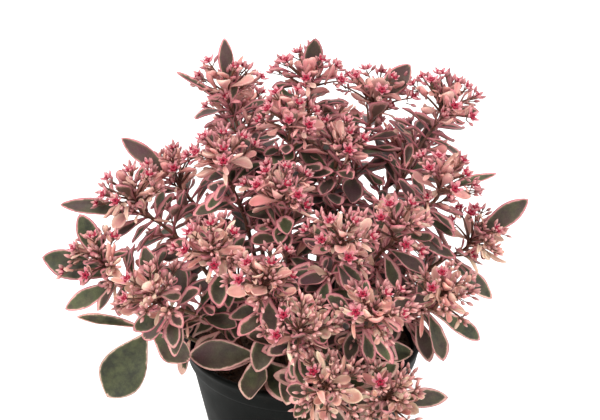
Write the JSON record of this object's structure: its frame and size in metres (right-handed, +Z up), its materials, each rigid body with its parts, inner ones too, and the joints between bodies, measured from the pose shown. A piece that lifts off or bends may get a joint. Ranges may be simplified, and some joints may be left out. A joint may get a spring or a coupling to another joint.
{
  "type": "potted variegated stonecrop",
  "caption": "Variegated stonecrop in flower: pink-edged leaves under loose clusters of small rosy stars, growing in a round black nursery pot.",
  "frame": {"origin": "centre of the pot's foot, on the surface that it stands on", "axes": "+Z up, -Y towards the side that faces the viewer in the picture"},
  "size_m": [0.3014, 0.2973, 0.3066],
  "materials": {
    "pot_plastic": "black moulded plastic with a low satin sheen",
    "soil": "dark crumbly peat and bark mix, fully rough",
    "leaf_and_stem": "smooth waxy olive leaf with a pink and cream margin, on a purple brown stem",
    "flower": "soft waxy pink petals, dusty rose buds and salmon bracts"
  },
  "bodies": {
    "root": {"pot": "pot_plastic", "potting_soil": "soil", "leafy_stem_01": "leaf_and_stem", "leafy_stem_02": "leaf_and_stem", "leafy_stem_03": "leaf_and_stem", "leafy_stem_04": "leaf_and_stem", "leafy_stem_05": "leaf_and_stem", "leafy_stem_06": "leaf_and_stem", "leafy_stem_07": "leaf_and_stem", "leafy_stem_08": "leaf_and_stem", "leafy_stem_09": "leaf_and_stem", "leafy_stem_10": "leaf_and_stem", "leafy_stem_11": "leaf_and_stem", "leafy_stem_12": "leaf_and_stem", "leafy_stem_13": "leaf_and_stem", "leafy_stem_14": "leaf_and_stem", "leafy_stem_15": "leaf_and_stem", "leafy_stem_16": "leaf_and_stem", "leafy_stem_17": "leaf_and_stem", "leafy_stem_18": "leaf_and_stem", "leafy_stem_19": "leaf_and_stem", "leafy_stem_20": "leaf_and_stem", "leafy_stem_21": "leaf_and_stem", "leafy_stem_22": "leaf_and_stem", "leafy_stem_23": "leaf_and_stem", "leafy_stem_24": "leaf_and_stem", "leafy_stem_25": "leaf_and_stem", "leafy_stem_26": "leaf_and_stem", "leafy_shoot_01": "leaf_and_stem", "leafy_shoot_02": "leaf_and_stem", "leafy_shoot_03": "leaf_and_stem", "leafy_shoot_04": "leaf_and_stem", "leafy_shoot_05": "leaf_and_stem", "flower_head_01": "flower", "flower_head_02": "flower", "flower_head_03": "flower", "flower_head_04": "flower", "flower_head_05": "flower", "flower_head_06": "flower", "flower_head_07": "flower", "flower_head_08": "flower", "flower_head_09": "flower", "flower_head_10": "flower", "flower_head_11": "flower", "flower_head_12": "flower", "flower_head_13": "flower", "flower_head_14": "flower", "flower_head_15": "flower", "flower_head_16": "flower", "flower_head_17": "flower", "flower_head_18": "flower", "flower_head_19": "flower", "flower_head_20": "flower", "flower_head_21": "flower", "flower_head_22": "flower", "flower_head_23": "flower", "flower_head_24": "flower", "flower_head_25": "flower", "flower_head_26": "flower"}
  },
  "joints": []
}
